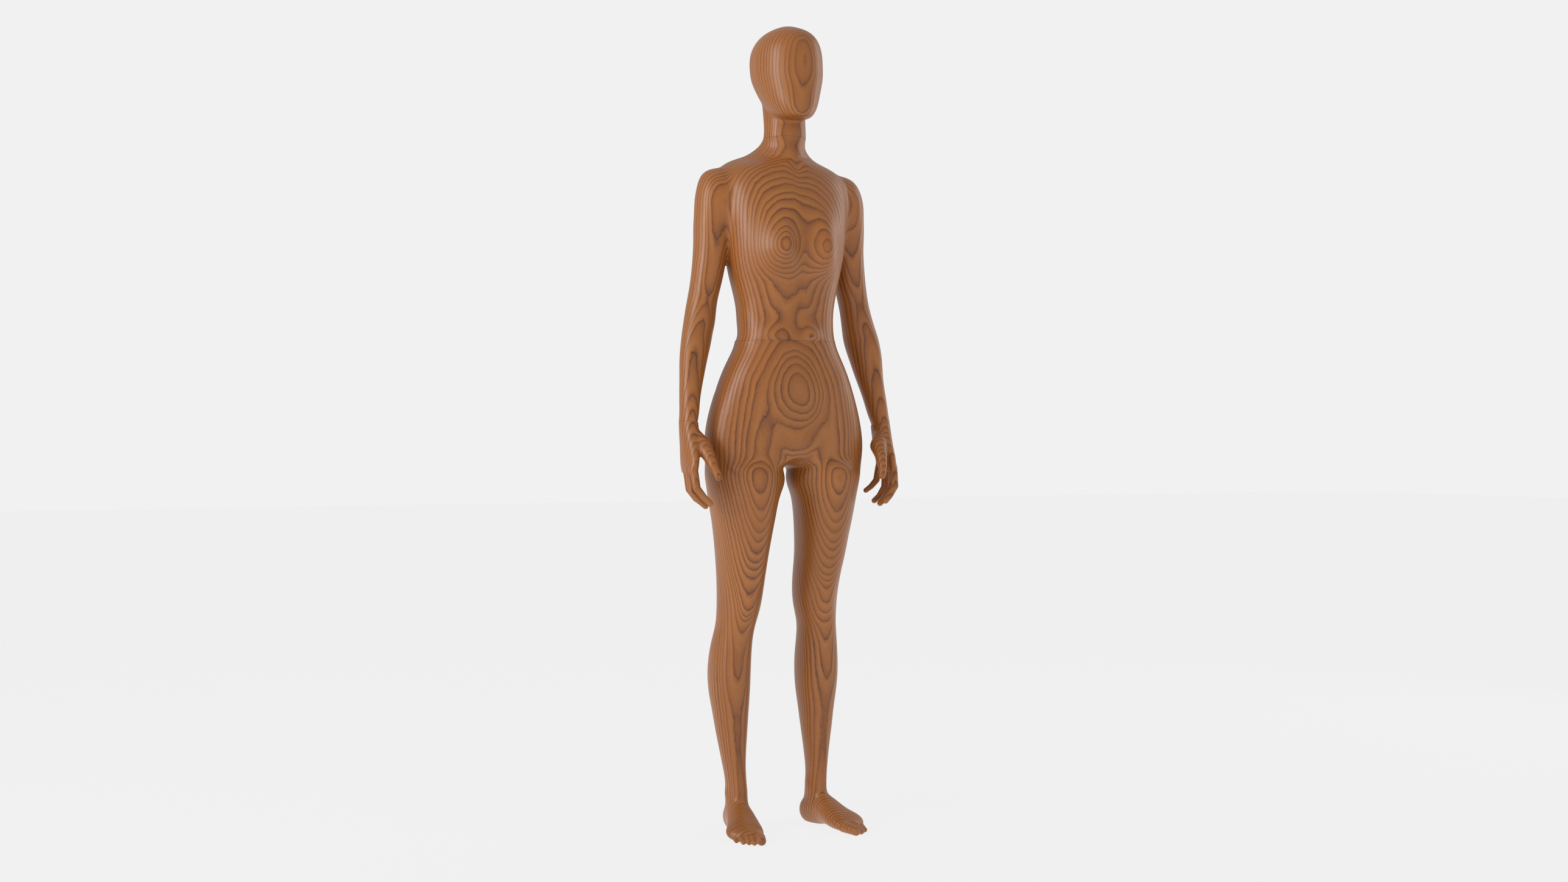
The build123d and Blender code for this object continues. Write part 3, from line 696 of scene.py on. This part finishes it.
def wood_material():
    """Flat-sawn wood: growth layers nearly upright and facing front, cut through by the carved surface."""
    material, tree, shader = new_material("wood")
    coordinates = object_coordinates(tree)
    separate = tree.nodes.new("ShaderNodeSeparateXYZ")
    tree.links.new(coordinates, separate.inputs[0])
    x, y = separate.outputs[0], separate.outputs[1]
    depth = math_node(tree, "MULTIPLY_ADD", x, LEAN, y)
    slow = noise(tree, coordinates, 5.0, 1.0, 0.4, (1.0, 0.6, 0.45))
    middle = noise(tree, coordinates, 24.0, 2.0, 0.5, (1.0, 0.5, 0.40))
    ragged = noise(tree, coordinates, 170.0, 4.0, 0.62, (1.0, 1.0, 0.55))
    depth = math_node(tree, "MULTIPLY_ADD", slow, SLOW_WARP, depth)
    depth = math_node(tree, "MULTIPLY_ADD", middle, MIDDLE_WARP, depth)
    for centre, reach, amount in BULGES:
        depth = math_node(tree, "ADD", bulge(tree, coordinates, centre, reach, amount), depth)
    rings_at = math_node(tree, "MULTIPLY_ADD", ragged, RAGGED_WARP, depth)
    uneven = noise(tree, None, 38.0, 2.0, 0.5, one_d=depth)
    phase = math_node(tree, "DIVIDE", rings_at, RING_SPACING)
    phase = math_node(tree, "MULTIPLY_ADD", uneven, UNEVEN_RINGS, phase)
    ring = math_node(tree, "FRACT", phase)
    tone = ramp(tree, ring, [
        (0.0, WOOD_LINE), (0.018, WOOD_LINE), (0.05, WOOD_SHADE), (0.12, WOOD_MID), (0.30, WOOD_LIGHT),
        (0.72, WOOD_MID), (0.95, WOOD_SHADE), (1.0, WOOD_LINE),
    ])
    # how strong each ring is varies from ring to ring and along it
    strength = noise(tree, coordinates, 14.0, 2.0, 0.5, (1.0, 1.0, 0.5))
    plain = ramp(tree, strength, [(0.36, 0.50), (0.60, 0.04)])
    tone = mixed(tree, "MIX", plain, tone, WOOD_MID)
    # faint finer layers between the rings
    fine = noise(tree, None, 900.0, 2.0, 0.6, one_d=rings_at)
    fine = ramp(tree, fine, [(0.25, 0.86), (0.55, 1.0), (0.8, 1.05)])
    tone = mixed(tree, "MULTIPLY", 0.6, tone, fine)
    # fibres and pores along the grain
    fibres = noise(tree, coordinates, 620.0, 2.0, 0.55, (1.0, 1.0, 0.035))
    fibre_tone = ramp(tree, fibres, [(0.3, 0.88), (0.5, 1.0), (0.75, 1.05)])
    tone = mixed(tree, "MULTIPLY", 0.5, tone, fibre_tone)
    pores = noise(tree, coordinates, 1500.0, 1.0, 0.5, (1.0, 1.0, 0.06))
    pore_tone = ramp(tree, pores, [(0.26, 0.62), (0.36, 1.0)])
    tone = mixed(tree, "MULTIPLY", 0.30, tone, pore_tone)
    # slow changes of colour through the board
    patches = noise(tree, coordinates, 9.0, 3.0, 0.55, (1.0, 1.0, 0.3))
    patch_tone = ramp(tree, patches, [
        (0.3, (0.90, 0.86, 0.82)), (0.5, (1.0, 1.0, 1.0)), (0.7, (1.08, 1.04, 0.98)),
    ])
    tone = mixed(tree, "MULTIPLY", 0.8, tone, patch_tone)
    tree.links.new(tone, shader.inputs["Base Color"])
    rough = ramp(tree, ring, [(0.0, 0.48), (0.10, 0.40), (0.6, 0.37), (1.0, 0.46)])
    tree.links.new(rough, shader.inputs["Roughness"])
    shader.inputs["Specular IOR Level"].default_value = 0.5
    shader.inputs["Coat Weight"].default_value = 0.12
    shader.inputs["Coat Roughness"].default_value = 0.34
    relief = math_node(tree, "MULTIPLY_ADD", fibres, 0.35, ring)
    add_bump(tree, shader, relief, 0.10, 0.0005)
    return material


def dowel_material():
    """Pale beech rod: fine grain along its length and short flecks."""
    material, tree, shader = new_material("dowel_beech")
    coordinates = object_coordinates(tree)
    grain = noise(tree, coordinates, 500.0, 3.0, 0.6, (1.0, 1.0, 0.05))
    flecks = noise(tree, coordinates, 900.0, 1.0, 0.5, (1.0, 0.4, 0.25))
    tone = ramp(tree, grain, [(0.3, linear(176, 132, 88)), (0.7, linear(214, 176, 130))])
    fleck_tone = ramp(tree, flecks, [(0.3, 0.75), (0.42, 1.0)])
    tree.links.new(mixed(tree, "MULTIPLY", 0.6, tone, fleck_tone), shader.inputs["Base Color"])
    shader.inputs["Roughness"].default_value = 0.62
    return material


def metal_material(name, colour, dark, roughness, stretch, scale, bump_height):
    """Brushed or drawn metal with fine scratches and clouded roughness."""
    material, tree, shader = new_material(name)
    coordinates = object_coordinates(tree)
    scratches = noise(tree, coordinates, scale, 3.0, 0.65, stretch)
    clouds = noise(tree, coordinates, 60.0, 3.0, 0.55)
    tone = ramp(tree, clouds, [(0.3, dark), (0.7, colour)])
    scratch_tone = ramp(tree, scratches, [(0.3, 0.85), (0.6, 1.0)])
    tree.links.new(mixed(tree, "MULTIPLY", 0.7, tone, scratch_tone), shader.inputs["Base Color"])
    shader.inputs["Metallic"].default_value = 1.0
    rough = ramp(tree, scratches, [(0.25, roughness + 0.14), (0.75, roughness)])
    tree.links.new(rough, shader.inputs["Roughness"])
    add_bump(tree, shader, scratches, 0.25, bump_height)
    return material


wood = wood_material()
dowel = dowel_material()
socket_steel = metal_material(
    "brushed_steel", linear(186, 188, 190), linear(150, 152, 156), 0.30, (1.0, 0.04, 1.0), 1400.0, 0.00004
)
stud_steel = metal_material(
    "zinc_plated_steel", linear(196, 200, 208), linear(166, 172, 184), 0.34, (1.0, 1.0, 1.0), 500.0, 0.00003
)
tube_steel = metal_material(
    "drawn_steel", linear(150, 150, 150), linear(118, 118, 120), 0.36, (1.0, 1.0, 0.03), 1600.0, 0.00004
)
screw_metal = metal_material(
    "yellow_passivated_steel",
    linear(206, 178, 112), linear(178, 142, 84), 0.32, (1.0, 1.0, 1.0), 900.0, 0.00003,
)

# Each new wooden piece stands for its CAD node and rides on the same body
for node, piece in wooden.items():
    piece.data.materials.clear()
    piece.data.materials.append(wood)
    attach(piece, BODY_OF[node])
    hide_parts(node)


def carried_material(name):
    """The finish of a fitting that keeps its CAD shape."""
    if name.endswith("_screws"):
        return screw_metal
    if name.endswith("_dowels"):
        return dowel
    if name.endswith("_tube"):
        return tube_steel
    if name.endswith("_stud") or name.endswith("_peg_plate"):
        return stud_steel
    return socket_steel


for name, node in nodes.items():
    if name not in wooden:
        node.data.materials.clear()
        node.data.materials.append(carried_material(name))

# ---------------------------------------------------------------- stage, light and camera
FLOOR_SIZE, FLOOR_Z = 40, -0.0005
FLOOR_GLOW = 0.835  # the ground is one flat tone without a shadow
SEEN_BACKGROUND, LIT_BACKGROUND = 0.88, 0.55  # the background as it is seen, and as it lights the figure
bpy.ops.mesh.primitive_plane_add(size=FLOOR_SIZE, location=(0, 0, FLOOR_Z))
floor = bpy.context.object
floor.name = "floor"
floor_material, _, floor_shader = new_material("floor")
floor_shader.inputs["Base Color"].default_value = (0.05, 0.05, 0.05, 1)
floor_shader.inputs["Roughness"].default_value = 1.0
floor_shader.inputs["Specular IOR Level"].default_value = 0.0
floor_shader.inputs["Emission Color"].default_value = (1, 1, 1, 1)
floor_shader.inputs["Emission Strength"].default_value = FLOOR_GLOW
floor.data.materials.append(floor_material)

scene = bpy.context.scene
scene.view_settings.view_transform = "Standard"
world = bpy.data.worlds.new("studio")
world.use_nodes = True
background = world.node_tree.nodes["Background"]
background.inputs["Color"].default_value = (1, 1, 1, 1)
seen = world.node_tree.nodes.new("ShaderNodeLightPath").outputs["Is Camera Ray"]
strength = math_node(world.node_tree, "MULTIPLY_ADD", seen, SEEN_BACKGROUND - LIT_BACKGROUND, LIT_BACKGROUND)
world.node_tree.links.new(strength, background.inputs["Strength"])
scene.world = world


def area_light(name, place, target, size, power):
    """A soft rectangular light that points at a target."""
    data = bpy.data.lights.new(name, "AREA")
    data.shape = "RECTANGLE"
    data.size, data.size_y = size
    data.energy = power
    obj = bpy.data.objects.new(name, data)
    scene.collection.objects.link(obj)
    obj.location = place
    obj.rotation_euler = (Vector(target) - Vector(place)).to_track_quat("-Z", "Y").to_euler()


area_light("key", (-3.6, -0.6, 2.2), (0, 0, 1.0), (1.4, 2.8), 62)
area_light("fill", (2.9, 0.4, 1.8), (0, 0, 0.9), (1.2, 2.6), 14)

AZIMUTH = math.radians(-25)
DISTANCE = 3.9
EYE_LEVEL = 0.847
MIDDLE_Y = 0.009  # the camera stands its distance away from this y, at x = 0
SENSOR_WIDTH, FOCAL_LENGTH = 36, 41.02  # millimetres
camera_data = bpy.data.cameras.new("camera")
camera_data.sensor_width = SENSOR_WIDTH
camera_data.lens = FOCAL_LENGTH
camera = bpy.data.objects.new("camera", camera_data)
scene.collection.objects.link(camera)
camera.location = (math.sin(AZIMUTH) * DISTANCE, MIDDLE_Y - math.cos(AZIMUTH) * DISTANCE, EYE_LEVEL)
camera.rotation_euler = (math.pi / 2, 0, AZIMUTH)
scene.camera = camera
